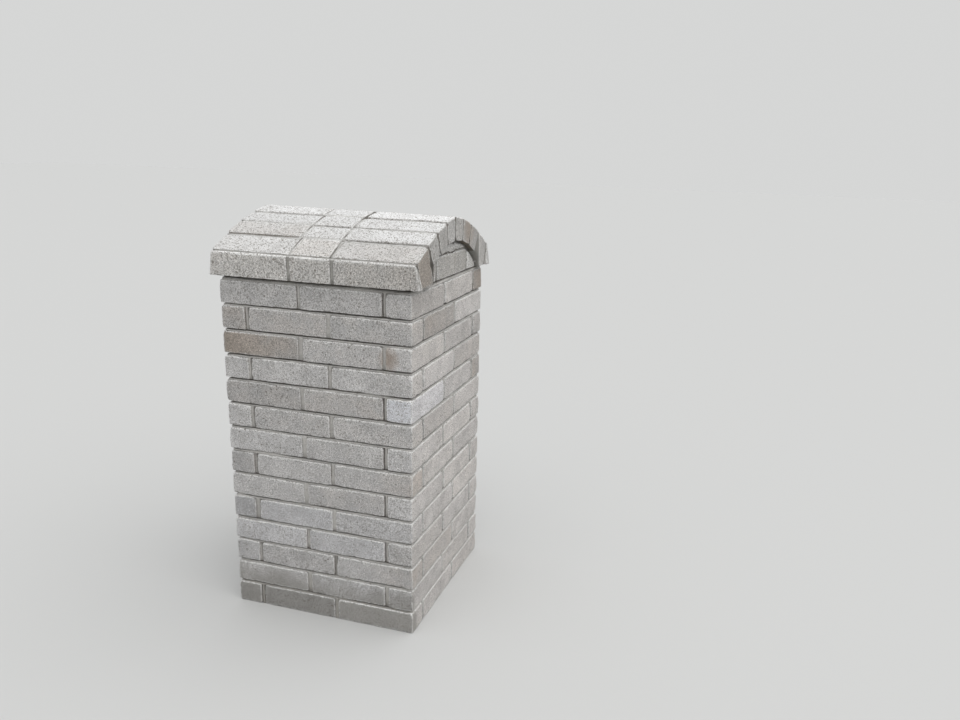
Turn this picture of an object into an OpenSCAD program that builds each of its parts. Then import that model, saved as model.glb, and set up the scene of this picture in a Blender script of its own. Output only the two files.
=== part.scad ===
// Free-standing brick pier with a barrel-arch cap.
// The shaft is laid in pinwheel courses of long bricks round a grouted core.
// The cap is a low barrel arch, slightly pointed outside and round inside, with its
// rows of bricks laid lengthwise from a wedge-shaped edge brick and a cut springer
// up to a joint at the crown. A recessed infill of cut bricks closes both ends.
// The origin is at the centre of the base, and the arch runs along X.

/* [Brick] */
// Length of a whole brick
brick_length = 244; // [220:1:270]
// Depth of a brick, from its face to its back
brick_depth = 76; // [66:1:86]
// Height of a brick in the shaft, and of a brick's face in the cap
brick_height = 67; // [60:1:74]

/* [Joints] */
// Width of an upright joint in the shaft
head_joint = 13; // [8:1:18]
// Thickness of the mortar bed between two courses
bed_joint = 6.5; // [4:0.5:10]
// Depth by which the mortar lies behind the faces of the bricks
joint_rake = 3; // [1:0.5:5]

/* [Shaft] */
// Number of courses in the shaft
courses = 14; // [4:1:18]

/* [Cap] */
// Thickness of the mortar bed under the cap
cap_bed = 12; // [6:1:16]
// Length of the cut brick in the middle of each row of the cap
cap_cut_brick = 125; // [100:1:150]
// Width of the two upright joints in each row of the cap
cap_head_joint = 10; // [6:1:14]
// Distance that the cap stands out past the front and rear of the shaft
side_overhang = 9; // [2:1:20]
// Distance that the arch stands out past the shaft at both ends
end_overhang = 14; // [6:1:24]
// Thickness of the wedge-shaped edge brick at its top
edge_top = 6; // [3:1:12]
// Thickness of the wedge-shaped edge brick at its foot
edge_foot = 28; // [18:1:40]
// Distance that the foot of the edge brick reaches past its top at both ends
edge_flare = 10; // [2:1:16]

/* [Arch] */
// Radius of each outer half of the arch, at the corners of its flat rows
arch_radius = 880; // [700:20:1200]
// Radius of the round soffit under the arch
soffit_radius = 330; // [300:5:360]
// Thickness of the mortar joint between two rows of the arch
arch_joint = 8; // [5:0.5:10]

/* [Infill] */
// Thickness of the mortar between the infill and the arch round it
infill_joint = 5; // [3:0.5:8]
// Distance of the whole infill brick from the middle of the pier
infill_shift = 13; // [0:1:20]
// Width of the cut infill brick beside the front springer
front_cut = 48; // [36:1:60]
// Width of the cut infill brick beside the rear springer
rear_cut = 69; // [50:1:80]
// Height of the thin infill piece under the crown of the arch
crown_cut = 24; // [14:1:34]

/* [Hidden] */
// Rows of whole wedges on each side of the crown joint
WEDGE_ROWS = 3;
side_names = ["front", "rear"];
wedge_names = ["crown_row", "upper_row", "haunch_row"];
end_names = ["right", "left"];

brick_colour = "#cdc7bb";
cap_colour = "#d8d3c8";
cut_colour = "#c2bcb0";
mortar_colour = "#b9b2a4";

// Shaft
course_pitch = brick_height + bed_joint;
run_length = 2 * brick_length + head_joint;
side = run_length + head_joint + brick_depth;
half_side = side / 2;
core_half = half_side - brick_depth;
mortar_half = half_side - joint_rake;
shaft_top = courses * course_pitch - bed_joint;

// Cap
cap_base = shaft_top + cap_bed;
cap_length = side + 2 * end_overhang;
cap_joint_x = (cap_cut_brick + cap_head_joint) / 2;
edge_y = half_side + side_overhang;
edge_height = cap_base + brick_height;

// Infill, laid from the whole brick outwards, and the opening of the arch round it
infill_front = infill_shift - brick_length / 2;
infill_rear = infill_shift + brick_length / 2;
infill_top = cap_base + brick_height;
opening_front = infill_front - head_joint - front_cut - infill_joint;
opening_rear = infill_rear + head_joint + rear_cut + infill_joint;
soffit_top = infill_top + bed_joint + crown_cut + infill_joint;

// Arch, with an outer curve from the edge brick to the crown on each side
crown_height = soffit_top + brick_depth;
soffit_centre = [0, soffit_top - soffit_radius];
half_chord = [-edge_y, crown_height - edge_height] / 2;
arch_centre = [edge_y, edge_height] + half_chord
    - [half_chord[1], -half_chord[0]] * sqrt(pow(arch_radius / norm(half_chord), 2) - 1);
crown_angle = asin(-arch_centre[0] / arch_radius);
row_angle = 2 * asin((brick_height + arch_joint) / (2 * arch_radius));

// Far enough past any face for a clean cut
over = 1;
// Sides of the round soffit, when it is drawn with flats
$fn = 360;

function course_name(number) = str("course_", number < 10 ? "0" : "", number);

// Height of the outer curve, or of the same set back by an inset, at a distance from the middle
function curve_height(distance, inset) =
    arch_centre[1] + sqrt(pow(arch_radius - inset, 2) - pow(distance - arch_centre[0], 2));

// Corner number `row` of the outside, as [distance from the middle, height]: the crown is 0,
// the last one at each side is the top of the edge brick, and those at the front are negative
function corner(row, inset = 0) =
    let (angle = crown_angle + abs(row) * row_angle)
    let (distance = row == 0 ? 0
        : abs(row) > WEDGE_ROWS ? edge_y - inset
        : arch_centre[0] + (arch_radius - inset) * sin(angle))
    [sign(row) * distance, curve_height(distance, inset)];

function toward(start, end, distance) = start + distance * (end - start) / norm(end - start);
function wedge_of(a, b) = a[0] * b[1] - a[1] * b[0];
function crossing(a, a_end, b, b_end) =
    a + (a_end - a) * wedge_of(b - a, b_end - b) / wedge_of(a_end - a, b_end - b);

// Where one side of the radial joint at corner number `row` crosses the line from a to b
function joint_side(row, direction, a, b) =
    let (ray = toward([0, 0], corner(row) - soffit_centre, 1))
    let (foot = soffit_centre + direction * arch_joint / 2 * [ray[1], -ray[0]])
    crossing(foot, foot + ray, a, b);

// The same on the flat beside that corner, and on the level of the bed
function joint_top(row, direction, inset = 0) =
    joint_side(row, direction, corner(row, inset), corner(row + direction, inset));
function joint_foot(row, direction) = joint_side(row, direction, [0, cap_base], [edge_y, cap_base]);

// Whole outside of the cap, or the same set back by an inset
function cap_outline(inset) = [
    [edge_y - inset, cap_base - over],
    for (row = [WEDGE_ROWS + 1:-1:-WEDGE_ROWS - 1]) corner(row, inset),
    [inset - edge_y, cap_base - over]
];

// One wedge-shaped row, counted from the crown, and running on into the opening
function wedge_outline(row) =
    [joint_top(row - 1, 1), joint_top(row, -1), joint_foot(row, -1), joint_foot(row - 1, 1)];

// The wedge-shaped edge brick, with its upright outer face
edge_outline = [
    [edge_y, cap_base],
    corner(WEDGE_ROWS + 1),
    toward(corner(WEDGE_ROWS + 1), corner(WEDGE_ROWS), edge_top),
    [edge_y - edge_foot, cap_base]
];

// The springer, cut to a flat bed below, and running on into the opening
springer_outline = [
    joint_top(WEDGE_ROWS, 1),
    toward(corner(WEDGE_ROWS + 1), corner(WEDGE_ROWS), edge_top + arch_joint),
    [edge_y - edge_foot - arch_joint, cap_base],
    joint_foot(WEDGE_ROWS, 1)
];

// Mortar of a radial joint, set back at the outside, and running on into the opening
function radial_joint_outline(row) = [
    joint_top(row, 1, joint_rake),
    corner(row, joint_rake),
    joint_top(row, -1, joint_rake),
    joint_foot(row, -1),
    joint_foot(row, 1)
];

// Mortar between the springer and the edge brick
edge_joint_outline = [
    crossing(edge_outline[2], edge_outline[3],
        corner(WEDGE_ROWS + 1, joint_rake), corner(WEDGE_ROWS, joint_rake)),
    crossing(springer_outline[1], springer_outline[2],
        corner(WEDGE_ROWS + 1, joint_rake), corner(WEDGE_ROWS, joint_rake)),
    springer_outline[2],
    edge_outline[3]
];

// A bar along X with the outline given, from its middle outwards
module along(length, middle = 0) {
    translate([middle - length / 2, 0, 0])
        rotate([90, 0, 90])
            linear_extrude(length) children();
}

// One side of a course: two bricks in line, with the raked joint between them
module brick_run() {
    difference() {
        cube([run_length, brick_depth, brick_height]);
        translate([brick_length, -over, -over])
            cube([head_joint, joint_rake + over, brick_height + 2 * over]);
    }
}

// A course of four runs that turn about the core, one way on odd courses and the other on even
module course(number) {
    start = number % 2 == 0 ? -half_side : half_side - run_length;
    color(brick_colour)
        for (turn = [0:3])
            rotate(90 * turn)
                translate([start, -half_side, (number - 1) * course_pitch])
                    brick_run();
}

// Grout inside the courses, in one mass with the beds and the corner joints
module mortar_core() {
    color(mortar_colour) {
        translate([-core_half, -core_half, 0])
            cube([2 * core_half, 2 * core_half, shaft_top]);
        for (number = [1:courses - 1])
            translate([-mortar_half, -mortar_half, number * course_pitch - bed_joint])
                cube([2 * mortar_half, 2 * mortar_half, bed_joint]);
        for (number = [1:courses], turn = [0:3]) {
            start = number % 2 == 0 ? half_side - brick_depth - head_joint : brick_depth - half_side;
            rotate(90 * turn)
                translate([start, -mortar_half, (number - 1) * course_pitch])
                    cube([head_joint, mortar_half - core_half, brick_height]);
        }
    }
}

module cap_bed_mortar() {
    color(mortar_colour)
        translate([-mortar_half, -mortar_half, shaft_top])
            cube([2 * mortar_half, 2 * mortar_half, cap_bed]);
}

// The room under the arch between the two springers, or the same with an inset
module opening(inset = 0) {
    intersection() {
        translate([-cap_length / 2 - over, 0, soffit_centre[1]])
            rotate([0, 90, 0])
                cylinder(r = soffit_radius - inset, h = cap_length + 2 * over);
        translate([-cap_length, opening_front + inset, cap_base - over])
            cube([2 * cap_length, opening_rear - opening_front - 2 * inset, brick_height + 2 * brick_depth]);
    }
}

// The bar of an edge row, longer at its foot than at its top
module edge_bar() {
    foot_half = cap_length / 2 + edge_flare;
    intersection() {
        along(2 * foot_half) polygon(edge_outline);
        translate([0, edge_y + over, 0])
            rotate([90, 0, 0])
                linear_extrude(edge_foot + 2 * over)
                    polygon([
                        [-foot_half, cap_base],
                        [foot_half, cap_base],
                        [cap_length / 2, edge_height + edge_top],
                        [-cap_length / 2, edge_height + edge_top]
                    ]);
    }
}

// A row of the cap: a cut brick between two longer ones, with raked joints
module cap_row(side_name) {
    color(cap_colour)
        difference() {
            rotate(side_name == "front" ? 180 : 0)
                difference() {
                    children();
                    for (middle = [-cap_joint_x, cap_joint_x])
                        along(cap_head_joint, middle)
                            difference() {
                                polygon(cap_outline(-over));
                                polygon(cap_outline(joint_rake));
                            }
                }
            opening();
        }
}

// All the joints between the rows of the arch
module arch_mortar() {
    joint_length = cap_length - 2 * joint_rake;
    color(mortar_colour) {
        for (row = [-WEDGE_ROWS:WEDGE_ROWS])
            difference() {
                along(joint_length) polygon(radial_joint_outline(row));
                opening();
            }
        for (turn = [0, 180])
            rotate(turn)
                along(joint_length) polygon(edge_joint_outline);
    }
}

// A block of the infill at the right-hand end, cut to the curve of the arch
module infill_block(from_y, to_y, from_z, height) {
    color(cut_colour)
        intersection() {
            opening(infill_joint);
            translate([core_half, from_y, from_z])
                cube([brick_depth, to_y - from_y, height]);
        }
}

module infill_brick() {
    infill_block(infill_front, infill_rear, cap_base, brick_height);
}

// The two pieces cut to fill the course beside the whole brick
module infill_cuts() {
    infill_block(opening_front, infill_front - head_joint, cap_base, brick_height);
    infill_block(infill_rear + head_joint, opening_rear, cap_base, brick_height);
}

// The thin piece between the course and the crown of the arch
module infill_sliver() {
    infill_block(opening_front, opening_rear, infill_top + bed_joint, crown_cut + over);
}

// The left-hand end mirrors the right-hand one
module at_end(end_name) {
    if (end_name == "right") children();
    else mirror([1, 0, 0]) children();
}

// Fill under the arch, with the joints round the infill at both ends
module arch_fill() {
    color(mortar_colour)
        difference() {
            intersection() {
                opening();
                translate([-mortar_half, -half_side, cap_base])
                    cube([2 * mortar_half, side, crown_height - cap_base]);
            }
            for (end_name = end_names)
                at_end(end_name) {
                    infill_brick();
                    infill_cuts();
                    infill_sliver();
                }
        }
}

for (number = [1:courses])
    course(number);
mortar_core();
cap_bed_mortar();
for (side_name = side_names) {
    cap_row(side_name) edge_bar();
    cap_row(side_name) along(cap_length) polygon(springer_outline);
    for (row = [1:WEDGE_ROWS])
        cap_row(side_name) along(cap_length) polygon(wedge_outline(row));
}
arch_mortar();
arch_fill();
for (end_name = end_names) {
    at_end(end_name) infill_brick();
    at_end(end_name) infill_cuts();
    at_end(end_name) infill_sliver();
}
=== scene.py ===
import math
import random
import bpy
import numpy as np
from mathutils import Matrix, Vector, noise


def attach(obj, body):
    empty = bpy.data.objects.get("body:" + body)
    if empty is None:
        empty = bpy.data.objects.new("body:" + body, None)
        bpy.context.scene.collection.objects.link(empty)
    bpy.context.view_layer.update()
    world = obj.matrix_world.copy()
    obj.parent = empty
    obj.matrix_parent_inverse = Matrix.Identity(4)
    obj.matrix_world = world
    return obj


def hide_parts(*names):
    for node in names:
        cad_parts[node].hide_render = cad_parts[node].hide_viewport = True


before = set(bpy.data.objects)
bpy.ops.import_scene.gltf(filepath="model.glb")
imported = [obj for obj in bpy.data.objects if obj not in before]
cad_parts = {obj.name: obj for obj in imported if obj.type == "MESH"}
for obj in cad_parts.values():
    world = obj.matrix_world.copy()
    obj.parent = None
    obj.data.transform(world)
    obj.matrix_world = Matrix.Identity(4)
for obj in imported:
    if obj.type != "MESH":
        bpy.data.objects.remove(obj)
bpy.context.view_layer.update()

# ---- Camera, floor and light ----
# The camera stands in front and to the right, a little above the cap, and looks
# down on the pier. The floor and the sky are plain and pale, as in a studio.
IMAGE_WIDTH, SENSOR_WIDTH, FOCAL_PIXELS = 960, 36.0, 817.32
stand = Vector((1.12366, -2.27322, 1.40965))
azimuth, elevation, roll = (math.radians(angle) for angle in (16.209, 16.761, 1.804))
sight = Vector((-math.sin(azimuth) * math.cos(elevation), math.cos(azimuth) * math.cos(elevation),
                -math.sin(elevation)))
level = Vector((math.cos(azimuth), math.sin(azimuth), 0.0))
above = level.cross(sight)
right = math.cos(roll) * level + math.sin(roll) * above
upward = math.cos(roll) * above - math.sin(roll) * level
camera = bpy.data.objects.new("camera", bpy.data.cameras.new("camera"))
camera.data.sensor_width = SENSOR_WIDTH
camera.data.lens = FOCAL_PIXELS / IMAGE_WIDTH * SENSOR_WIDTH
camera.data.shift_x = -21.8 / IMAGE_WIDTH
camera.data.shift_y = 31.2 / IMAGE_WIDTH
camera.data.clip_start = 0.05
camera.matrix_world = Matrix((
    (right.x, upward.x, -sight.x, stand.x),
    (right.y, upward.y, -sight.y, stand.y),
    (right.z, upward.z, -sight.z, stand.z),
    (0.0, 0.0, 0.0, 1.0),
))
bpy.context.scene.collection.objects.link(camera)
bpy.context.scene.camera = camera


def object_from(name, points, faces):
    """A smooth mesh object at the origin, with its place in its mesh."""
    mesh = bpy.data.meshes.new(name)
    mesh.from_pydata([tuple(point) for point in points], [], [tuple(face) for face in faces])
    mesh.validate()
    mesh.shade_smooth()
    made = bpy.data.objects.new(name, mesh)
    bpy.context.scene.collection.objects.link(made)
    return made


class Build:
    """Short calls that add nodes to one tree."""

    def __init__(self, tree):
        self.tree = tree

    def node(self, kind, inputs=(), **settings):
        made = self.tree.nodes.new(kind)
        for name, value in settings.items():
            setattr(made, name, value)
        for key, value in inputs.items() if isinstance(inputs, dict) else enumerate(inputs):
            if isinstance(value, bpy.types.NodeSocket):
                self.tree.links.new(value, made.inputs[key])
            elif value is not None:
                made.inputs[key].default_value = value
        return made

    def number(self, operation, *values):
        return self.node("ShaderNodeMath", values, operation=operation).outputs[0]

    def vector(self, operation, *values):
        return self.node("ShaderNodeVectorMath", values, operation=operation).outputs[0]

    def parts(self, vector):
        return self.node("ShaderNodeSeparateXYZ", (vector,)).outputs

    def triple(self, value):
        return self.node("ShaderNodeCombineXYZ", (value,) * 3).outputs[0]

    def scaled(self, vector, factor):
        return self.node("ShaderNodeVectorMath", {0: vector, 3: factor}, operation="SCALE").outputs[0]

    def ramp(self, value, low, high, start=0.0, end=1.0):
        return self.node("ShaderNodeMapRange", (value, low, high, start, end),
                         interpolation_type="SMOOTHSTEP").outputs[0]

    def mixed(self, factor, first, second):
        return self.node("ShaderNodeMix", {0: factor, 4: first, 5: second}, data_type="VECTOR").outputs[1]

    def colour(self, factor, first, second):
        return self.node("ShaderNodeMix", {0: factor, 6: first, 7: second}, data_type="RGBA").outputs[2]

    def noise(self, vector, scale, detail=2.0, roughness=0.5, output=0):
        return self.node("ShaderNodeTexNoise", {"Vector": vector, "Scale": scale, "Detail": detail,
                                                "Roughness": roughness}).outputs[output]


def new_material(name, colour, roughness):
    """A material with its Principled shader, and a Build for the rest of its nodes."""
    made = bpy.data.materials.new(name)
    made.use_nodes = True
    shader = made.node_tree.nodes["Principled BSDF"]
    shader.inputs["Base Color"].default_value = (*colour, 1.0)
    shader.inputs["Roughness"].default_value = roughness
    return made, shader, Build(made.node_tree)


FLOOR_HALF = 30.0
floor = object_from("floor", [(FLOOR_HALF * x, FLOOR_HALF * y, 0.0) for x, y in ((-1, -1), (1, -1), (1, 1), (-1, 1))],
                    [(0, 1, 2, 3)])
pale_floor, shader, build = new_material("pale_floor", (0.62, 0.62, 0.61), 0.95)
seen = build.node("ShaderNodeLightPath").outputs["Is Camera Ray"]
floor_colour = build.colour(seen, (0.28, 0.28, 0.27, 1.0), (0.62, 0.62, 0.61, 1.0))
build.tree.links.new(floor_colour, shader.inputs["Base Color"])
floor.data.materials.append(pale_floor)

world = bpy.data.worlds.new("sky")
bpy.context.scene.world = world
world.use_nodes = True
build = Build(world.node_tree)
skylight = world.node_tree.nodes["Background"]
skylight.inputs["Color"].default_value = (0.97, 0.985, 1.0, 1.0)
toward = build.node("ShaderNodeTexCoord").outputs["Generated"]
height = build.number("MAXIMUM", build.parts(toward)[2], 0.0)
# The sky is brighter overhead and on the right
sideways = build.node("ShaderNodeVectorMath", (toward, (0.30, -0.06, 0.0)), operation="DOT_PRODUCT").outputs["Value"]
overcast = build.number("ADD", build.number("MULTIPLY_ADD", height, 0.60, 0.45), sideways)
build.tree.links.new(overcast, skylight.inputs["Strength"])
backdrop = build.node("ShaderNodeBackground", ((0.67, 0.675, 0.67, 1.0), 1.0))
seen = build.node("ShaderNodeLightPath").outputs["Is Camera Ray"]
both = build.node("ShaderNodeMixShader", (seen, skylight.outputs[0], backdrop.outputs[0]))
world.node_tree.links.new(both.outputs[0], world.node_tree.nodes["World Output"].inputs["Surface"])

lamp = bpy.data.objects.new("high_cloud", bpy.data.lights.new("high_cloud", "SUN"))
lamp.data.energy = 0.85
lamp.data.color = (1.0, 0.98, 0.95)
lamp.data.angle = math.radians(80)
lamp.rotation_mode = "QUATERNION"
lamp.rotation_quaternion = Vector((-0.35, 0.22, -1.0)).to_track_quat("-Z", "Y")
bpy.context.scene.collection.objects.link(lamp)
bpy.context.scene.view_settings.view_transform = "Standard"

# ---- Shaft bricks ----
# Long bricks of pale fired clay with sanded faces, eight to a course, laid in a
# pinwheel so that each face shows two sides and one end. Their arrises are worn
# round and chipped, and their tone changes a little from brick to brick.
BRICK_LENGTH, BRICK_DEPTH, BRICK_HEIGHT = 0.244, 0.076, 0.067
HEAD_JOINT, BED_JOINT, COURSES = 0.013, 0.0065, 14
PITCH = BRICK_HEIGHT + BED_JOINT
HALF_SIDE = (2 * BRICK_LENGTH + 2 * HEAD_JOINT + BRICK_DEPTH) / 2
SHAFT_TOP = COURSES * PITCH - BED_JOINT
BLEACHED_AND_LIT_CLAY, BARE_AND_LIT_CLAY = (0.938, 0.935, 0.928, 1.0), (0.95, 0.94, 0.92, 1.0)


def group_tree(name, inputs, outputs):
    """An empty shader group with number inputs, and a vector input called Place."""
    tree = bpy.data.node_groups.new(name, "ShaderNodeTree")
    tree.interface.new_socket(name="Place", in_out="INPUT", socket_type="NodeSocketVector")
    for socket in inputs:
        tree.interface.new_socket(name=socket, in_out="INPUT", socket_type="NodeSocketFloat")
    for socket in outputs:
        tree.interface.new_socket(name=socket, in_out="OUTPUT", socket_type="NodeSocketFloat")
    build = Build(tree)
    return tree, build, build.node("NodeGroupInput").outputs


def sandy_group():
    """Shader group: sandy grain, dark specks and pits, pale grains and slow clouds, as on sanded clay."""
    tree, build, given = group_tree("sandy surface", ("Coarseness", "Pits"),
                                    ("Cloud", "Grain", "Specks", "Pale", "Relief"))
    place = build.scaled(given["Place"], build.number("DIVIDE", 1.0, given["Coarseness"]))
    cloud = build.noise(given["Place"], 15.0, 3.0, 0.55)
    grain = build.noise(place, 430.0, 3.0, 0.7)
    fine = build.ramp(build.noise(place, 262.0, 3.0, 0.7), 0.525, 0.62)
    wander = build.node("ShaderNodeTexNoise", {"Vector": place, "Scale": 300.0, "Detail": 1.0}).outputs[1]
    crooked = build.vector("ADD", place, build.scaled(build.vector("SUBTRACT", wander, (0.5, 0.5, 0.5)), 0.006))
    cells = build.node("ShaderNodeTexVoronoi", {"Vector": crooked, "Scale": 95.0})
    pick = build.node("ShaderNodeSeparateColor", (cells.outputs["Color"],)).outputs
    wide = build.number("MULTIPLY_ADD", pick[1], 0.26, 0.08)
    hole = build.ramp(build.number("SUBTRACT", wide, cells.outputs["Distance"]), -0.02, 0.08)
    pits = build.number("MULTIPLY", hole, build.number("LESS_THAN", pick[0], given["Pits"]))
    specks = build.number("MAXIMUM", pits, build.number("MULTIPLY", fine, 0.6))
    pale = build.ramp(build.noise(build.vector("ADD", place, (7.0, 3.0, 5.0)), 280.0, 2.0, 0.6), 0.56, 0.68)
    relief = build.number("SUBTRACT", build.number("MULTIPLY", build.number("ADD", grain, pale), 0.4), specks)
    build.node("NodeGroupOutput", (cloud, grain, specks, pale, relief))
    return tree


def weather_and_shade_group():
    """Shader group: painted shade near the ground, rain streaks, and worn arrises."""
    tree, build, given = group_tree("weathering and ground shade", ("Edge", "Wear Width", "Ground Shade Height"),
                                    ("Ground Shade", "Streaks", "Worn"))
    place = given["Place"]
    across, height = build.parts(place)[1:3]
    # The painted shade near the ground dies out behind the front face
    behind = build.number("MAXIMUM", build.number("ADD", across, HALF_SIDE - 0.008), 0.0)
    uneven = build.number("MULTIPLY_ADD", build.noise(place, 13.0, 4.0, 0.6), 0.12, height)
    ragged = build.number("ADD", uneven, build.number("MULTIPLY", behind, 3.0))
    # Painted shade: darkest at the ground, with a ragged upper edge
    ground_shade = build.ramp(build.number("SUBTRACT", ragged, given["Ground Shade Height"]), 0.09, 0.0)
    streaks = build.ramp(build.noise(build.vector("MULTIPLY", place, (80.0, 80.0, 9.0)), 1.0, 3.0, 0.6), 0.48, 0.72)
    crumbled = build.number("MULTIPLY_ADD", build.noise(place, 190.0, 3.0), 0.013,
                            build.number("SUBTRACT", given["Edge"], 0.0068))
    worn = build.ramp(crumbled, given["Wear Width"], 0.0)
    build.node("NodeGroupOutput", (ground_shade, streaks, worn))
    return tree


sandy, weather_and_shade_tree = sandy_group(), weather_and_shade_group()


def tinted(colour, red, green, blue):
    """The colour times one factor for each channel."""
    return (colour[0] * red, colour[1] * green, colour[2] * blue, 1.0)


def brick_material(name, colour, coarseness, pits, contrast, streaking, bleach_and_top_light, ground_shade=-1.0, underside_shade_from=0.30, warm_right_light=0.0,
                   plain_ends=0.0, stain=0.0, stain_place=(0.0, 0.0, 0.0), stain_reach=0.1):
    """Pale sanded clay. The tone of each brick and the way to the next arris come from its mesh.

    Painted warm light tints the faces turned to the right and weakens their pale rims. A stain has its place, and how
    far it reaches.
    """
    made, shader, build = new_material(name, colour, 0.92)
    place = build.node("ShaderNodeTexCoord").outputs["Object"]
    tone = build.node("ShaderNodeAttribute", attribute_name="tone").outputs["Vector"]
    pale, tan, own = build.parts(tone)
    edge = build.node("ShaderNodeAttribute", attribute_name="edge").outputs["Fac"]
    normal = build.parts(build.node("ShaderNodeNewGeometry").outputs["Normal"])
    facing, endwise = normal[2], build.ramp(build.number("ABSOLUTE", normal[0]), 0.5, 0.9)
    apart = build.vector("ADD", place, build.scaled((3.1, 1.7, 2.3), own))
    sand = build.node("ShaderNodeGroup", {"Place": apart, "Coarseness": coarseness, "Pits": pits}, node_tree=sandy)
    weather_and_shade = build.node("ShaderNodeGroup", {"Place": place, "Edge": edge, "Wear Width": 0.006,
                                             "Ground Shade Height": ground_shade}, node_tree=weather_and_shade_tree)
    cloud, grain, specks, grains, relief = sand.outputs
    specks = build.number("MULTIPLY", specks, build.number("MULTIPLY_ADD", endwise, -2.5 * plain_ends, 1.0))
    ground_shading, streaks, worn = weather_and_shade.outputs
    # Tan and cold bricks, and clouds within a brick
    base = (*colour, 1.0)
    patch = build.ramp(build.number("MULTIPLY_ADD", tan, 0.45, cloud), 0.38, 0.85)
    warm = build.colour(build.number("MULTIPLY", patch, build.number("MAXIMUM", tan, 0.0)), base,
                        tinted(colour, 0.76, 0.66, 0.57))
    cold = build.colour(build.number("MAXIMUM", build.number("MULTIPLY", tan, -1.0), 0.0), warm,
                        tinted(colour, 0.98, 1.01, 1.07))
    # Painted warm light tints the faces that turn to the right
    warm_right = build.number("MULTIPLY", build.ramp(normal[0], 0.5, 0.9), warm_right_light)
    warmed_right = build.vector("MULTIPLY", cold, build.colour(warm_right, (1.0, 1.0, 1.0, 1.0), (1.025, 0.998, 0.972, 1.0)))
    light = build.number("MULTIPLY_ADD", build.number("SUBTRACT", cloud, 0.5), 0.65, 1.0)
    light = build.number("MULTIPLY_ADD", build.number("SUBTRACT", grain, 0.5), contrast * 0.9, light)
    light = build.number("MULTIPLY_ADD", grains, contrast * 0.22, light)
    light = build.number("MULTIPLY", light, build.number("MULTIPLY_ADD", endwise, -plain_ends, 1.0))
    lit = build.vector("MULTIPLY", warmed_right, build.triple(light))
    # Rain streaks and painted shade near the ground, then the tops paled by sun and rain and by painted light, and
    # the worn arrises with a painted highlight, then the specks
    streaked = build.colour(build.number("MULTIPLY", streaks, streaking), lit, tinted(colour, 0.70, 0.66, 0.60))
    # Painted shade darkens the bricks near the ground, most on the front face
    ground_darkened = build.colour(build.number("MULTIPLY", ground_shading, 0.75), streaked, tinted(colour, 0.52, 0.51, 0.48))
    # The tops are bleached by sun and rain, and painted light makes the faces that turn up paler still
    up = build.number("POWER", build.number("MAXIMUM", facing, 0.0), 6.0)
    uneven = build.number("MULTIPLY_ADD", build.number("ADD", grain, cloud), bleach_and_top_light, -0.35)
    washed_and_lit = build.number("MAXIMUM", build.number("MULTIPLY", up, uneven), 0.0)
    bleached_and_lit = build.colour(build.number("MINIMUM", washed_and_lit, 1.0), ground_darkened, BLEACHED_AND_LIT_CLAY)
    # Worn arrises show paler bare clay, and a painted highlight brightens them, most where they turn up
    rub_and_highlight = build.number("MULTIPLY_ADD", build.ramp(facing, -0.02, 0.16), 0.42, 0.58)
    # Painted warm light on the faces turned to the right also weakens the pale rims there
    right_rim_factor = build.number("MULTIPLY_ADD", build.ramp(normal[0], 0.5, 0.85), -0.45 * warm_right_light, 1.0)
    rubbed_and_lit = build.colour(build.number("MULTIPLY", worn, build.number("MULTIPLY", rub_and_highlight, right_rim_factor)), bleached_and_lit, BARE_AND_LIT_CLAY)
    bite = build.number("MULTIPLY", specks, build.number("MULTIPLY_ADD", up, contrast * 0.10, contrast * 0.50))
    pitted = build.colour(build.number("MINIMUM", bite, 0.85), rubbed_and_lit, tinted(colour, 0.40, 0.37, 0.33))
    paler = build.number("MULTIPLY_ADD", pale, 0.16, 1.0)
    fired = build.vector("MULTIPLY", pitted, build.triple(paler))
    # Painted shade darkens the faces that turn downwards, under the arrises, the overhangs and the soffit
    underside_shade = build.ramp(facing, -underside_shade_from, -underside_shade_from - 0.5)
    shaded = build.colour(build.number("MULTIPLY", underside_shade, 0.85), fired, tinted(colour, 0.20, 0.175, 0.145))
    # One brown stain, higher than it is wide
    aside = build.vector("MULTIPLY", build.vector("SUBTRACT", place, stain_place), (1.0, 1.0, 0.7))
    off = build.node("ShaderNodeVectorMath", (aside,), operation="LENGTH").outputs["Value"]
    ragged = build.number("MULTIPLY_ADD", build.noise(place, 60.0, 3.0), stain_reach * 0.57, off)
    stains = build.number("MULTIPLY", build.ramp(ragged, stain_reach, stain_reach * 0.39), stain)
    stained = build.colour(stains, shaded, tinted(colour, 0.58, 0.44, 0.33))
    build.tree.links.new(stained, shader.inputs["Base Color"])
    bump = build.node("ShaderNodeBump", {"Strength": 0.8, "Distance": 0.0022, "Height": relief})
    build.tree.links.new(bump.outputs[0], shader.inputs["Normal"])
    return made


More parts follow.
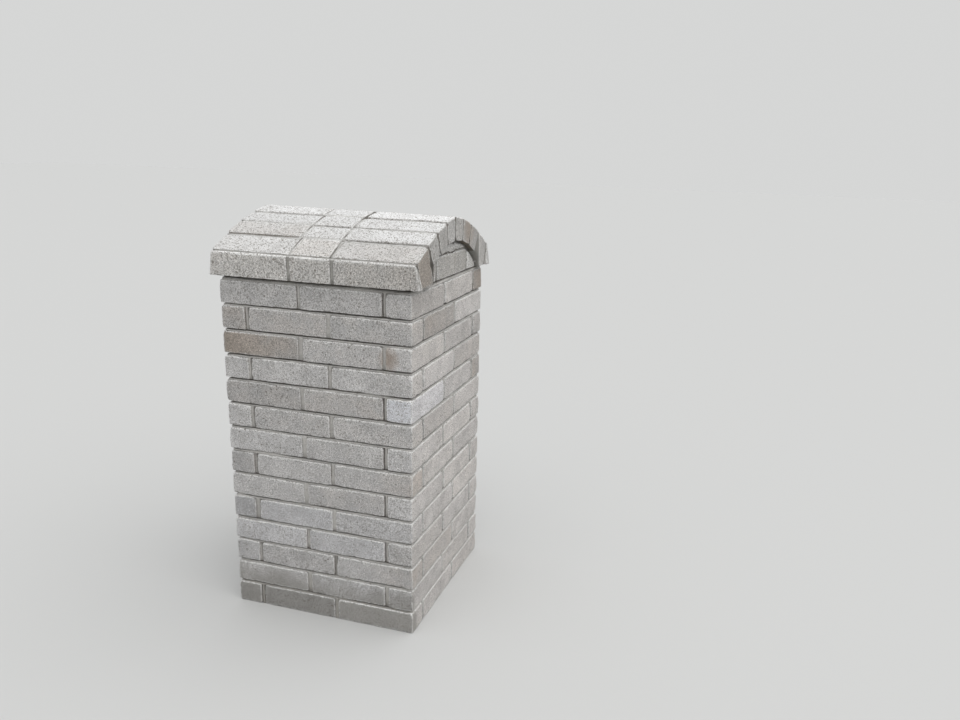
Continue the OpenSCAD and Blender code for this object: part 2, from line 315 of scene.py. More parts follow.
def brick_tree():
    """Geometry Nodes: one rounded, chipped and uneven brick on each point, drawn between its eight corners."""
    tree = bpy.data.node_groups.new("uneven brick", "GeometryNodeTree")
    tree.interface.new_socket(name="Points", in_out="INPUT", socket_type="NodeSocketGeometry")
    for name, kind in (("Cells Along", "Int"), ("Cells Across", "Int"), ("Cells Up", "Int"), ("Arris", "Float"),
                       ("Corner", "Float"), ("Chips", "Float"), ("Unevenness", "Float"), ("Clay", "Material")):
        tree.interface.new_socket(name=name, in_out="INPUT", socket_type="NodeSocket" + kind)
    tree.interface.new_socket(name="Bricks", in_out="OUTPUT", socket_type="NodeSocketGeometry")
    build = Build(tree)
    given = build.node("NodeGroupInput").outputs

    def attribute(name, kind="FLOAT_VECTOR"):
        node = build.node("GeometryNodeInputNamedAttribute", {"Name": name}, data_type=kind)
        return next(output for output in node.outputs if output.enabled)

    def stored(geometry, name, value, kind):
        return build.node("GeometryNodeStoreNamedAttribute", {"Geometry": geometry, "Name": name, "Value": value},
                          data_type=kind, domain="POINT").outputs[0]

    # A block of cells from -1 to 1, and the same on every point
    counts = [build.number("ADD", given[name], 1.0) for name in ("Cells Along", "Cells Across", "Cells Up")]
    block = build.node("GeometryNodeMeshCube", {"Size": (2.0, 2.0, 2.0), "Vertices X": counts[0],
                                                "Vertices Y": counts[1], "Vertices Z": counts[2]}).outputs[0]
    block = stored(block, "cell", build.node("GeometryNodeInputPosition").outputs[0], "FLOAT_VECTOR")
    laid = build.node("GeometryNodeInstanceOnPoints", {"Points": given["Points"], "Instance": block}).outputs[0]
    bricks = build.node("GeometryNodeRealizeInstances", (laid,)).outputs[0]

    # The outer two cells are narrow, so that the arrises can be round
    cell, half, own = attribute("cell"), attribute("half"), attribute("own", "FLOAT")
    halves = build.scaled(build.node("ShaderNodeCombineXYZ", (given["Cells Along"], given["Cells Across"],
                                                             given["Cells Up"])).outputs[0], 0.5)
    count = build.vector("MULTIPLY", build.vector("ABSOLUTE", cell), halves)
    outer_cell, two_cells = 0.0020, 0.0065
    inner = build.vector("SUBTRACT", halves, (2.0, 2.0, 2.0))
    wide = build.vector("DIVIDE", build.vector("SUBTRACT", half, (two_cells,) * 3), inner)
    plain = build.vector("MULTIPLY", build.vector("MINIMUM", count, inner), wide)

    def strip(cells_in, width):
        reach = build.vector("SUBTRACT", count, build.vector("SUBTRACT", halves, (cells_in,) * 3))
        clamped = build.vector("MINIMUM", build.vector("MAXIMUM", reach, (0.0,) * 3), (1.0,) * 3)
        return build.scaled(clamped, width)

    narrow = build.vector("ADD", strip(2.0, two_cells - outer_cell), strip(1.0, outer_cell))
    reach = build.vector("ADD", plain, narrow)
    place = build.vector("MULTIPLY", reach, build.vector("SIGN", cell))

    # The way to the nearest arris and to the nearest corner: the middle and the largest of three distances
    inward = build.vector("SUBTRACT", half, build.vector("ABSOLUTE", place))
    gap = build.parts(inward)
    lower, upper = build.number("MINIMUM", gap[0], gap[1]), build.number("MAXIMUM", gap[0], gap[1])
    to_arris = build.number("MAXIMUM", lower, build.number("MINIMUM", upper, gap[2]))
    to_corner = build.number("MAXIMUM", upper, gap[2])

    # Rounding: wider at the corners and along the top, and where the noise says that the arris is worn or chipped
    apart = build.vector("ADD", place, build.scaled((1.3, 0.7, 2.1), own))
    worn = build.noise(apart, 42.0, 3.0, 0.7)
    chipped = build.ramp(build.noise(apart, 95.0, 3.0, 0.75), 0.52, 0.66)
    radius = build.number("MULTIPLY", given["Arris"], build.number("MULTIPLY_ADD", worn, 1.6, 0.2))
    radius = build.number("MULTIPLY_ADD", chipped, given["Chips"], radius)
    radius = build.number("MULTIPLY_ADD", build.ramp(to_corner, 0.020, 0.002), given["Corner"], radius)
    high = build.parts(place)[2]
    radius = build.number("MULTIPLY", radius, build.ramp(high, -0.010, 0.010, 0.62, 1.05))
    room = build.vector("SUBTRACT", half, build.triple(radius))
    core = build.vector("MINIMUM", build.vector("MAXIMUM", place, build.scaled(room, -1.0)), room)
    outward = build.vector("NORMALIZE", build.vector("SUBTRACT", place, core))
    small = build.number("MULTIPLY", build.noise(apart, 95.0, 2.0), 0.6)
    hollow = build.number("SUBTRACT", build.number("ADD", build.noise(apart, 24.0, 2.0), small), 0.60)
    dent = build.number("MULTIPLY", given["Unevenness"], build.number("MAXIMUM", hollow, 0.0))
    shaped = build.vector("ADD", core, build.scaled(outward, build.number("SUBTRACT", radius, dent)))

    # From the straight block into the eight corners, with a bulge over the top of a piece cut to a curve
    share = build.vector("MULTIPLY_ADD", build.vector("DIVIDE", shaped, half), (0.5,) * 3, (0.5,) * 3)
    along, across, up = build.parts(share)
    ends = []
    for end in (0, 1):
        low, high = (build.mixed(across, attribute("corner_%d0%d" % (end, top)),
                                 attribute("corner_%d1%d" % (end, top))) for top in (0, 1))
        ends.append(build.mixed(up, low, high))
    spot = build.mixed(along, *ends)
    from_middle = build.number("MULTIPLY_ADD", along, 2.0, -1.0)
    crown = build.number("SUBTRACT", 1.0, build.number("MULTIPLY", from_middle, from_middle))
    bulge = build.number("MULTIPLY", build.number("MULTIPLY", crown, up), attribute("bulge", "FLOAT"))
    spot = build.vector("ADD", spot, build.node("ShaderNodeCombineXYZ", (0.0, 0.0, bulge)).outputs[0])

    # The tan of a brick may lean towards one of its ends
    pale, tan, mark = build.parts(attribute("tone"))
    leaning = build.number("MAXIMUM", build.number("MULTIPLY_ADD", from_middle, attribute("lean", "FLOAT"), 1.0), 0.0)
    tone = build.node("ShaderNodeCombineXYZ", (pale, build.number("MULTIPLY", tan, leaning), mark)).outputs[0]
    bricks = stored(bricks, "edge", to_arris, "FLOAT")
    bricks = stored(bricks, "tone", tone, "FLOAT_VECTOR")
    bricks = build.node("GeometryNodeSetPosition", {"Geometry": bricks, "Position": spot}).outputs[0]
    bricks = build.node("GeometryNodeSetShadeSmooth", {"Geometry": bricks}).outputs[0]
    bricks = build.node("GeometryNodeRealizeInstances", (bricks,)).outputs[0]
    bricks = build.node("GeometryNodeSetMaterial", {"Geometry": bricks, "Material": given["Clay"]}).outputs[0]
    build.node("NodeGroupOutput", (bricks,))
    return tree


uneven_brick = brick_tree()


def half_width(corners, axis):
    """Half of the mean way between two opposite sides of a brick."""
    return np.linalg.norm(np.mean(np.take(corners, 1, axis) - np.take(corners, 0, axis), axis=(0, 1))) / 2


def lay(name, bricks, material, cells, arris, corner, chips, unevenness):
    """One piece of several bricks. Each is its eight corners, paleness, tan, lean of the tan, and bulge."""
    shapes, pale, tan, lean, bulge = zip(*bricks)
    mesh = bpy.data.meshes.new(name)
    mesh.from_pydata([tuple(np.mean(corners, axis=(0, 1, 2))) for corners in shapes], [], [])
    columns = {"corner_%d%d%d" % (a, b, c): [corners[a][b][c] for corners in shapes]
               for a in (0, 1) for b in (0, 1) for c in (0, 1)}
    columns["half"] = [[half_width(corners, axis) for axis in (0, 1, 2)] for corners in shapes]
    chance = random.Random(name)
    own = [chance.random() for _ in bricks]
    columns["tone"] = list(zip(pale, tan, own))
    for attribute, values in columns.items():
        mesh.attributes.new(attribute, "FLOAT_VECTOR", "POINT").data.foreach_set("vector", np.ravel(values))
    for attribute, values in (("own", own), ("lean", lean), ("bulge", bulge)):
        mesh.attributes.new(attribute, "FLOAT", "POINT").data.foreach_set("value", values)
    piece = bpy.data.objects.new(name, mesh)
    bpy.context.scene.collection.objects.link(piece)
    modifier = piece.modifiers.new("bricks", "NODES")
    modifier.node_group = uneven_brick
    values = {"Cells Along": cells[0], "Cells Across": cells[1], "Cells Up": cells[2], "Arris": arris,
              "Corner": corner, "Chips": chips, "Unevenness": unevenness, "Clay": material}
    for socket in uneven_brick.interface.items_tree:
        if socket.in_out == "INPUT" and socket.name in values:
            modifier[socket.identifier] = values[socket.name]
    shaped = bpy.data.meshes.new_from_object(piece.evaluated_get(bpy.context.evaluated_depsgraph_get()))
    piece.modifiers.clear()
    piece.data = shaped
    for attribute in [kept.name for kept in shaped.attributes]:
        if attribute.startswith(("corner_", "half", "cell", "own", "bulge", "lean")):
            shaped.attributes.remove(shaped.attributes[attribute])
    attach(piece, "root")
    return piece


def box_corners(low, high):
    """The eight corners of a straight block, as an array with one index for each direction."""
    return np.array([[[(x, y, z) for z in (low[2], high[2])] for y in (low[1], high[1])] for x in (low[0], high[0])])


shaft_clay = brick_material("shaft_clay", (0.683, 0.667, 0.657), coarseness=0.85, pits=0.13, contrast=2.35,
                            streaking=0.10, bleach_and_top_light=1.0, ground_shade=0.13, underside_shade_from=0.75, warm_right_light=1.0, stain=0.66,
                            stain_place=(0.224, -0.295, 0.842), stain_reach=0.052)
# Bricks that stand out: (course from the ground, side, place in its run): (paleness, tan, lean to one end)
odd_bricks = {
    (14, 2, 0): (-0.8, 0.7, 0.0), (14, 0, 0): (-0.1, 0.1, 0.0), (14, 0, 1): (-0.1, 0.1, 0.0),
    (14, 1, 0): (-0.4, 0.1, 0.0),
    (13, 3, 1): (-0.3, 0.45, 0.0), (13, 0, 0): (0.0, 0.3, 0.0), (13, 0, 1): (0.0, 0.2, 0.0),
    (13, 1, 0): (-1.0, 0.3, -0.4), (13, 1, 1): (0.9, -0.2, 0.0),
    (12, 0, 0): (-0.6, 0.7, -0.35), (12, 0, 1): (0.2, 0.15, 0.0), (12, 1, 0): (0.5, 0.05, 0.0),
    (11, 0, 0): (0.4, 0.0, 0.0), (11, 0, 1): (0.5, 0.0, 0.0), (11, 1, 0): (0.9, -0.2, 0.0),
    (11, 1, 1): (-0.1, 0.2, 0.0),
    (10, 0, 0): (-0.7, 0.25, 0.0), (10, 0, 1): (0.1, 0.30, 0.0), (10, 1, 0): (1.5, -0.9, 0.0),
    (10, 2, 0): (-0.6, 0.4, 0.0),
    (9, 0, 0): (0.0, 0.15, 0.0), (9, 0, 1): (0.2, 0.15, 0.0),
    (8, 0, 0): (0.4, -0.1, 0.0), (8, 1, 0): (0.6, -0.1, 0.0), (8, 1, 1): (0.9, 0.0, 0.0),
    (7, 1, 0): (0.6, 0.0, 0.0), (7, 3, 1): (-0.7, 0.1, 0.0), (7, 0, 1): (0.15, 0.14, 2.0),
    (6, 1, 0): (0.5, -0.1, 0.0), (6, 1, 1): (0.7, 0.05, 0.0), (6, 0, 1): (0.0, 0.2, 0.0),
    (5, 3, 1): (-0.9, -0.4, 0.0), (5, 1, 1): (1.0, 0.1, 0.0), (5, 0, 0): (0.2, -0.4, 0.0),
    (5, 0, 1): (0.1, -0.2, 0.0),
    (4, 0, 0): (0.5, -0.35, 0.0), (4, 0, 1): (0.2, -0.35, 0.0),
    (3, 0, 1): (0.0, 0.14, 2.0),
}
# At most how far bricks reach into the upright joints and into the core, stand back, and lie out of level
JOINT_REACH, CORE_REACH, SET_BACK, BASE_TILT, TOP_TILT, TOP_DROP = 0.0032, 0.0045, 0.0014, 0.0016, 0.0024, 0.0010
for number in range(1, COURSES + 1):
    chance = random.Random(40 + number)
    bricks = []
    for side in range(4):
        turn = np.array(Matrix.Rotation(math.radians(90 * side), 3, "Z"))
        start = -HALF_SIDE if number % 2 == 0 else BRICK_DEPTH + HEAD_JOINT - HALF_SIDE
        for index in (0, 1):
            left = start + index * (BRICK_LENGTH + HEAD_JOINT)
            bottom = (number - 1) * PITCH
            corners = box_corners((left, -HALF_SIDE, bottom),
                                  (left + BRICK_LENGTH, -HALF_SIDE + BRICK_DEPTH, bottom + BRICK_HEIGHT))
            wander = [chance.random() for _ in range(9)]
            corners[0, :, :, 0] -= JOINT_REACH * wander[0] * (index == 1)
            corners[1, :, :, 0] += JOINT_REACH * wander[1] * (index == 0)
            corners[:, 1, :, 1] += CORE_REACH * wander[2]
            for tip in (0, 1):
                corners[tip, 0, :, 1] += SET_BACK * wander[3 + tip]
                corners[tip, :, 0, 2] += BASE_TILT * wander[5 + tip] * (number > 1)
                corners[tip, :, 1, 2] += TOP_TILT * wander[7 + tip] - TOP_DROP
            usual = (chance.gauss(0.0, 0.30), chance.gauss(0.0, 0.11), 0.0)
            bricks.append((corners @ turn.T, *odd_bricks.get((number, side, index), usual), 0.0))
    course = lay("bricks_%02d" % number, bricks, shaft_clay, cells=(44, 8, 14), arris=0.0030, corner=0.0034,
                 chips=0.0060, unevenness=0.0042)
    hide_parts("course_%02d" % number)

# ---- Shaft mortar ----
# Sand mortar fills the joints and the core. In the beds it is struck at a slant, deep
# under the upper brick and nearly flush on the lower one. The upright joints are raked
# in some places and filled flush in others.
CAP_BED = 0.012
CAP_BASE = SHAFT_TOP + CAP_BED
DIRT_AND_SHADE_FROM, DIRT_AND_SHADE_OVER = 0.0050, 0.0045
CORNER_COVER, BEHIND_BRICKS, SIDE_SHADE = 0.0115, 0.0110, 0.0006
BED_FRONT, BED_SLANT, BED_BACK = 0.0032, 0.0056, 0.0092
FLUSH, RAKE, PARTING = 0.0014, 0.0036, 0.0100


def mortar_material(name, colour, ground_shade, bleach_and_top_light):
    """Sandy mortar with small stones, with painted shade in deep joints and near the ground, and with upward faces
    paled by sun and rain and by painted light.
    """
    made, shader, build = new_material(name, colour, 0.95)
    place = build.node("ShaderNodeTexCoord").outputs["Object"]
    deep = build.node("ShaderNodeAttribute", attribute_name="deep").outputs["Fac"]
    facing = build.parts(build.node("ShaderNodeNewGeometry").outputs["Normal"])[2]
    sand = build.node("ShaderNodeGroup", {"Place": place, "Coarseness": 0.7, "Pits": 0.35}, node_tree=sandy)
    weather_and_shade = build.node("ShaderNodeGroup", {"Place": place, "Edge": 1.0, "Wear Width": 0.001,
                                             "Ground Shade Height": ground_shade}, node_tree=weather_and_shade_tree)
    cloud, grain, specks, grains, relief = sand.outputs
    light = build.number("MULTIPLY_ADD", build.number("SUBTRACT", cloud, 0.5), 0.6, 1.0)
    light = build.number("MULTIPLY_ADD", build.number("SUBTRACT", grain, 0.5), 0.6, light)
    lit = build.vector("MULTIPLY", colour, build.triple(light))
    # Upward faces are paler: bleached by sun and rain, and painted light
    up = build.number("POWER", build.number("MAXIMUM", facing, 0.0), 3.0)
    bleached_and_lit = build.colour(build.number("MULTIPLY", up, bleach_and_top_light), lit, (0.80, 0.795, 0.78, 1.0))
    pitted = build.colour(build.number("MULTIPLY", specks, 0.5), bleached_and_lit, tinted(colour, 0.45, 0.42, 0.37))
    # Painted shade darkens the mortar near the ground, most on the front face
    ground_darkened = build.colour(build.number("MULTIPLY", weather_and_shade.outputs["Ground Shade"], 0.50), pitted,
                         tinted(colour, 0.52, 0.50, 0.46))
    # The deeper the mortar lies, the darker it is: painted shade in the recesses, and dirt where the cap's upright
    # joints hold it
    black = build.colour(build.number("MULTIPLY", deep, 0.90), ground_darkened, tinted(colour, 0.22, 0.195, 0.17))
    build.tree.links.new(black, shader.inputs["Base Color"])
    bump = build.node("ShaderNodeBump", {"Strength": 0.8, "Distance": 0.0015, "Height": relief})
    build.tree.links.new(bump.outputs[0], shader.inputs["Normal"])
    return made


def closed_tube(name, rings, depths, material):
    """A mesh through rings of points, closed round each ring and at both ends, with how deep each point lies."""
    count = len(rings[0])
    faces = []
    for low in range(0, (len(rings) - 1) * count, count):
        for here in range(count):
            beside = (here + 1) % count
            faces.append((low + here, low + beside, low + count + beside, low + count + here))
    faces.append(tuple(reversed(range(count))))
    faces.append(tuple(range((len(rings) - 1) * count, len(rings) * count)))
    made = object_from(name, [point for ring in rings for point in ring], faces)
    # Depth sets how dark the mortar is: painted shade in the recesses, and dirt that is added as depth
    depth = np.clip((np.ravel(depths) - DIRT_AND_SHADE_FROM) / DIRT_AND_SHADE_OVER, 0.0, 1.0)
    made.data.attributes.new("deep", "FLOAT", "POINT").data.foreach_set("value", depth)
    made.data.materials.append(material)
    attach(made, "root")
    return made


def rough(x, y, z, scale, size):
    """A smooth random height between plus and minus that size."""
    return size * noise.noise(Vector((x * scale, y * scale, z * scale)))


shaft_mortar = mortar_material("shaft_mortar", (0.62, 0.598, 0.568), 0.13, 0.6)
across_joint = (-0.2, 0.0, 0.3, 0.5, 0.7, 1.0, 1.2)
joint_starts = ((BRICK_LENGTH - HALF_SIDE, HALF_SIDE - BRICK_DEPTH - HEAD_JOINT),
                (BRICK_DEPTH - HALF_SIDE, HALF_SIDE - BRICK_LENGTH - HEAD_JOINT))
stations = set(np.round(np.linspace(-HALF_SIDE + CORNER_COVER, HALF_SIDE - CORNER_COVER, 90), 4))
for starts in joint_starts:
    stations |= {round(start + HEAD_JOINT * share, 4) for start in starts for share in across_joint}
stations = sorted(stations)
# How full the left and the right upright joint are, by course and side: 0 is the front, 1 the right side
chance = random.Random(9)
joint_fills = {(number, side): (chance.uniform(0.1, 0.7), chance.uniform(0.1, 0.7))
               for number in range(1, COURSES + 1) for side in range(4)}
joint_fills.update({
    (14, 0): (0.1, 0.3), (13, 0): (0.3, 0.95), (12, 0): (0.8, 0.75), (11, 0): (0.3, 0.45), (10, 0): (0.8, 0.1),
    (9, 0): (0.4, 0.7), (8, 0): (1.0, 0.35), (7, 0): (0.2, 0.6), (6, 0): (1.0, 0.2), (5, 0): (0.7, 0.75),
    (4, 0): (0.1, 0.3), (3, 0): (0.0, 0.0), (2, 0): (0.8, 0.8), (1, 0): (0.4, 0.8),
    (14, 1): (0.0, 0.1), (13, 1): (0.2, 0.5), (12, 1): (0.2, 0.0), (11, 1): (0.0, 0.3), (10, 1): (0.4, 0.1),
    (9, 1): (0.1, 0.5), (8, 1): (0.5, 0.2), (7, 1): (0.0, 0.4), (6, 1): (0.3, 0.0), (5, 1): (0.1, 0.2),
    (4, 1): (0.2, 0.1), (3, 1): (0.4, 0.2), (2, 1): (0.2, 0.0), (1, 1): (0.0, 0.1),
})
levels = [(0.0, 1, None)]
for number in range(1, COURSES + 1):
    top = number * PITCH - BED_JOINT
    levels += [(top - BRICK_HEIGHT * share, number, None) for share in (0.95, 0.7, 0.5, 0.3, 0.05)]
    thick = BED_JOINT if number < COURSES else CAP_BED
    levels += [(top + thick * share, number, share) for share in (0.0, 0.25, 0.48, 0.66, 0.97)]


def joint_depth(side, along, height, number, share):
    """How far the mortar lies behind the faces of the bricks."""
    far = along + side * 3.7
    grit = rough(far, height, 3.0, 60, 0.0012) + rough(far, height, 9.0, 190, 0.0009)
    if share is not None:
        filled = min(1.15, max(0.15, 0.86 + rough(far, height, 1.0, 9, 1.25)))
        return BED_FRONT + filled * (BED_BACK if share > 0.6 else BED_SLANT * share) + grit
    places = [(along - start) / HEAD_JOINT for start in joint_starts[number % 2]]
    from_middle, joint = min((abs(place - 0.5), joint) for joint, place in enumerate(places))
    if from_middle > 0.6:
        return BEHIND_BRICKS
    empty = 1.0 - joint_fills[number, side][joint]
    uneven = rough(far, number, 5.0, 11, 0.0010 + 0.0030 * empty)
    # A raked joint has parted from the bricks on both sides
    parted = PARTING * empty if from_middle > 0.4 else 0.0
    return max(FLUSH - 0.0002, FLUSH + RAKE * empty + uneven + grit) + parted


rings, depths = [], []
for height, number, share in levels:
    ring, depth = [], []
    for side in range(4):
        turn = Matrix.Rotation(math.radians(90 * side), 3, "Z")
        for along in stations:
            deep = joint_depth(side, along, height, number, share)
            # Painted shade darkens the beds of the right and left sides more
            depth.append(deep + (SIDE_SHADE if share is not None and side % 2 else 0.0))
            ring.append(turn @ Vector((along, deep - HALF_SIDE, height)))
    rings.append(ring)
    depths.append(depth)
joints = closed_tube("shaft_joints", rings, depths, shaft_mortar)
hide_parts("mortar_core", "cap_bed_mortar")

# ---- Rows of the cap ----
# Bricks of the same clay laid lengthwise as a low barrel arch: wedge-cut rows from
# the crown down, a cut springer and a thin wedge-shaped edge brick. Each row laps
# a little over the next one, like a shingle. The top is bleached by sun and rain,
# and painted light makes the faces that turn up paler still.
END_OVERHANG, SIDE_OVERHANG, EDGE_FLARE = 0.014, 0.009, 0.010
CUT_BRICK, CAP_JOINT, ARCH_JOINT = 0.125, 0.010, 0.008
EDGE_TOP, EDGE_FOOT = 0.006, 0.028
ARCH_RADIUS, SOFFIT_RADIUS, ROWS = 0.880, 0.330, 3
REAR_LAP, THIN_JOINT, CROWN_SHIFT = 0.0014, 0.0050, 0.004
SLIVER_RISE, SOFFIT_JOINT, FRONT_FOOT, REAR_FOOT = 0.024, 0.005, 0.175, 0.222
ROW_NAMES = ("crown_row", "upper_row", "haunch_row", "springer", "edge_row")
CAP_HALF = HALF_SIDE + END_OVERHANG
EDGE_Y, EDGE_Z = HALF_SIDE + SIDE_OVERHANG, CAP_BASE + BRICK_HEIGHT
SOFFIT_TOP = EDGE_Z + BED_JOINT + SLIVER_RISE + SOFFIT_JOINT
CROWN = SOFFIT_TOP + BRICK_DEPTH
soffit_centre = np.array((0.0, SOFFIT_TOP - SOFFIT_RADIUS))
half_chord = np.array((-EDGE_Y, CROWN - EDGE_Z)) / 2
arch_centre = (np.array((EDGE_Y, EDGE_Z)) + half_chord - np.array((half_chord[1], -half_chord[0]))
               * math.sqrt((ARCH_RADIUS / np.linalg.norm(half_chord)) ** 2 - 1))
crown_angle = math.asin(-arch_centre[0] / ARCH_RADIUS)
row_angle = 2 * math.asin((BRICK_HEIGHT + ARCH_JOINT) / (2 * ARCH_RADIUS))


def corner(row):
    """Corner of the outside, as [distance from the middle, height]: 0 is the crown, 4 the top of the edge brick."""
    if row == 0:
        return np.array((0.0, CROWN))
    if row > ROWS:
        return np.array((EDGE_Y, EDGE_Z))
    angle = crown_angle + row * row_angle
    return arch_centre + ARCH_RADIUS * np.array((math.sin(angle), math.cos(angle)))


def joint_foot(row, aside):
    """A point on the line of that joint moved aside, and the joint's direction."""
    ray = (corner(row) - soffit_centre) / np.linalg.norm(corner(row) - soffit_centre)
    return soffit_centre + aside * np.array((ray[1], -ray[0])), ray


def cross(first, second):
    """Cross product of two flat vectors."""
    return first[0] * second[1] - first[1] * second[0]


def joint_top(row, aside, first, second):
    """Where a line beside that joint meets the line from first to second."""
    foot, ray = joint_foot(row, aside - CROWN_SHIFT * (row == 1))
    flat = second - first
    return foot + ray * cross(first - foot, flat) / cross(ray, flat)


def at_soffit(row, aside):
    """Foot of a line beside that joint, on the round soffit."""
    foot, ray = joint_foot(row, aside)
    return foot + ray * math.sqrt(SOFFIT_RADIUS ** 2 - aside ** 2)


def sunk(point, neighbour, depth):
    """The point moved square to the slope of the arch, into the cap."""
    flat = (neighbour - point) / np.linalg.norm(neighbour - point)
    inward = np.array((flat[1], -flat[0]))
    return point + depth * (inward if inward[1] < 0 else -inward)


slope = (corner(3) - corner(4)) / np.linalg.norm(corner(3) - corner(4))
reach_under = ARCH_JOINT / 2 - (ARCH_JOINT - THIN_JOINT)


def sag(x):
    """How far the crown lies too low there. It drops a little towards the right end."""
    return 0.0022 * (1.02 + x / CAP_HALF)


def section(row_name, side, lap):
    """The four corners of a row's section, [across][up], across from the front to the rear."""
    if row_name == "edge_row":
        quad = [[np.array((EDGE_Y - EDGE_FOOT, CAP_BASE)), corner(4) + slope * EDGE_TOP],
                [np.array((EDGE_Y, CAP_BASE)), np.array((EDGE_Y, EDGE_Z))]]
    elif row_name == "springer":
        foot = FRONT_FOOT if side == "front" else REAR_FOOT
        top = sunk(joint_top(3, ARCH_JOINT / 2, corner(3), corner(4)), corner(4), lap)
        quad = [[np.array((foot, CAP_BASE)), top],
                [np.array((EDGE_Y - EDGE_FOOT - ARCH_JOINT, CAP_BASE)), corner(4) + slope * (EDGE_TOP + ARCH_JOINT)]]
    else:
        row = ROW_NAMES.index(row_name) + 1
        upper = joint_top(row - 1, ARCH_JOINT / 2 if row > 1 else THIN_JOINT / 2, corner(row - 1), corner(row))
        lower = joint_top(row, -reach_under, corner(row - 1), corner(row))
        upper = sunk(upper, lower, lap if row > 1 else 0.0004)
        quad = [[at_soffit(row - 1, ARCH_JOINT / 2), upper], [at_soffit(row, -reach_under), lower]]
    if side == "front":
        quad = [[point * (-1, 1) for point in pair] for pair in (quad[1], quad[0])]
    return quad


cap_clay = brick_material("cap_clay", (0.66, 0.639, 0.616), coarseness=1.15, pits=0.20, contrast=2.6,
                          streaking=0.12, bleach_and_top_light=1.35, plain_ends=0.17, stain=0.5, stain_place=(0.31, 0.118, 1.16),
                          stain_reach=0.088)
spans = ((-CAP_HALF, -CUT_BRICK / 2 - CAP_JOINT), (-CUT_BRICK / 2, CUT_BRICK / 2),
         (CUT_BRICK / 2 + CAP_JOINT, CAP_HALF))
odd_cap_bricks = {
    ("rear", "upper_row", 2): (-0.1, 0.05, 0.0), ("rear", "haunch_row", 2): (-0.5, 0.1, 0.0),
    ("front", "crown_row", 0): (0.0, -0.1, 0.0), ("front", "crown_row", 1): (-0.25, -0.1, 0.0),
    ("front", "crown_row", 2): (0.35, -0.1, 0.0), ("front", "upper_row", 0): (-0.6, 0.0, 0.0),
    ("front", "upper_row", 1): (-0.4, 0.0, 0.0), ("front", "upper_row", 2): (-0.25, 0.05, 0.0),
    ("front", "haunch_row", 0): (-0.6, 0.65, 0.0), ("front", "haunch_row", 1): (-0.45, 0.1, 0.0),
    ("front", "haunch_row", 2): (-0.3, 0.0, 0.0), ("front", "springer", 0): (-0.35, 0.05, 0.0),
    ("front", "springer", 1): (-0.15, 0.6, 0.0), ("front", "springer", 2): (-0.85, 0.55, 0.2),
    ("front", "edge_row", 0): (0.9, 0.1, 0.0), ("front", "edge_row", 1): (0.55, 0.1, 0.0),
    ("front", "edge_row", 2): (0.05, 0.2, 0.5),
}
# From the crown down: how far the two upright joints stray, how far the row reaches out on the left, and how
# far the tops of the three front bricks lie under the row above
strays = dict(zip(ROW_NAMES, ((-0.014, -0.013), (-0.007, -0.014), (-0.008, -0.014), (-0.003, -0.012),
                              (0.0, -0.0035))))
left_reach = dict(zip(ROW_NAMES, (0.0065, 0.0070, 0.0040, 0.0045, 0.0)))
front_laps = dict(zip(ROW_NAMES, ((0.0, 0.0, 0.0), (0.0036, 0.0010, 0.0032), (0.0, 0.0028, 0.0018),
                                  (0.0038, 0.0010, 0.0042), (0.0, 0.0, 0.0))))
for side in ("front", "rear"):
    for row_name in ROW_NAMES:
        chance = random.Random(side + row_name)
        bricks = []
        for index, (start, end) in enumerate(spans):
            lap = front_laps[row_name][index] if side == "front" else REAR_LAP * chance.uniform(0.1, 1.4)
            quad = section(row_name, side, lap)
            corners = np.array([[[(x, *quad[b][c]) for c in (0, 1)] for b in (0, 1)] for x in (start, end)])
            # Bricks reach a little into the upright joints, and the feet of the outer edge bricks flare out
            stray = (-left_reach[row_name], *strays[row_name], 0.0)
            reach = (0.0004, 0.0004) if row_name == "edge_row" else (0.0025, 0.0012)
            corners[0, :, :, 0] += stray[index] - chance.uniform(0.5, 1.3) * (0, *reach)[index]
            corners[1, :, :, 0] += stray[index + 1] + chance.uniform(0.5, 1.3) * (*reach, 0)[index]
            if row_name == "edge_row" and index != 1:
                corners[index // 2, :, 0, 0] += (index - 1) * EDGE_FLARE
            inner = (side == "front") * 1
            if row_name == "crown_row":
                corners[:, inner, 1, 2] -= sag(corners[:, inner, 1, 0])
            usual = (chance.gauss(0.0, 0.30), chance.gauss(0.0, 0.12), 0.0)
            bricks.append((corners, *odd_cap_bricks.get((side, row_name, index), usual), 0.0))
        row = lay("%s_%s_bricks" % (side, row_name), bricks, cap_clay, cells=(44, 8, 14), arris=0.0024,
                  corner=0.0024, chips=0.0046, unevenness=0.0026)
        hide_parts("%s_%s" % (side, row_name))

# ---- Mortar of the cap ----
# The joints between the rows are struck back under each lap, and the upright
# joints are filled almost flush. A smear of mortar covers the edge bricks' tops.
CROWN_DEPTH, END_DEPTH, EDGE_ROW = 0.0035, 0.0012, 5
SEAM_RISE, JOINT_DIRT = 0.0042, 0.0052
cap_mortar = mortar_material("cap_mortar", (0.50, 0.485, 0.455), -1.0, 0.80)


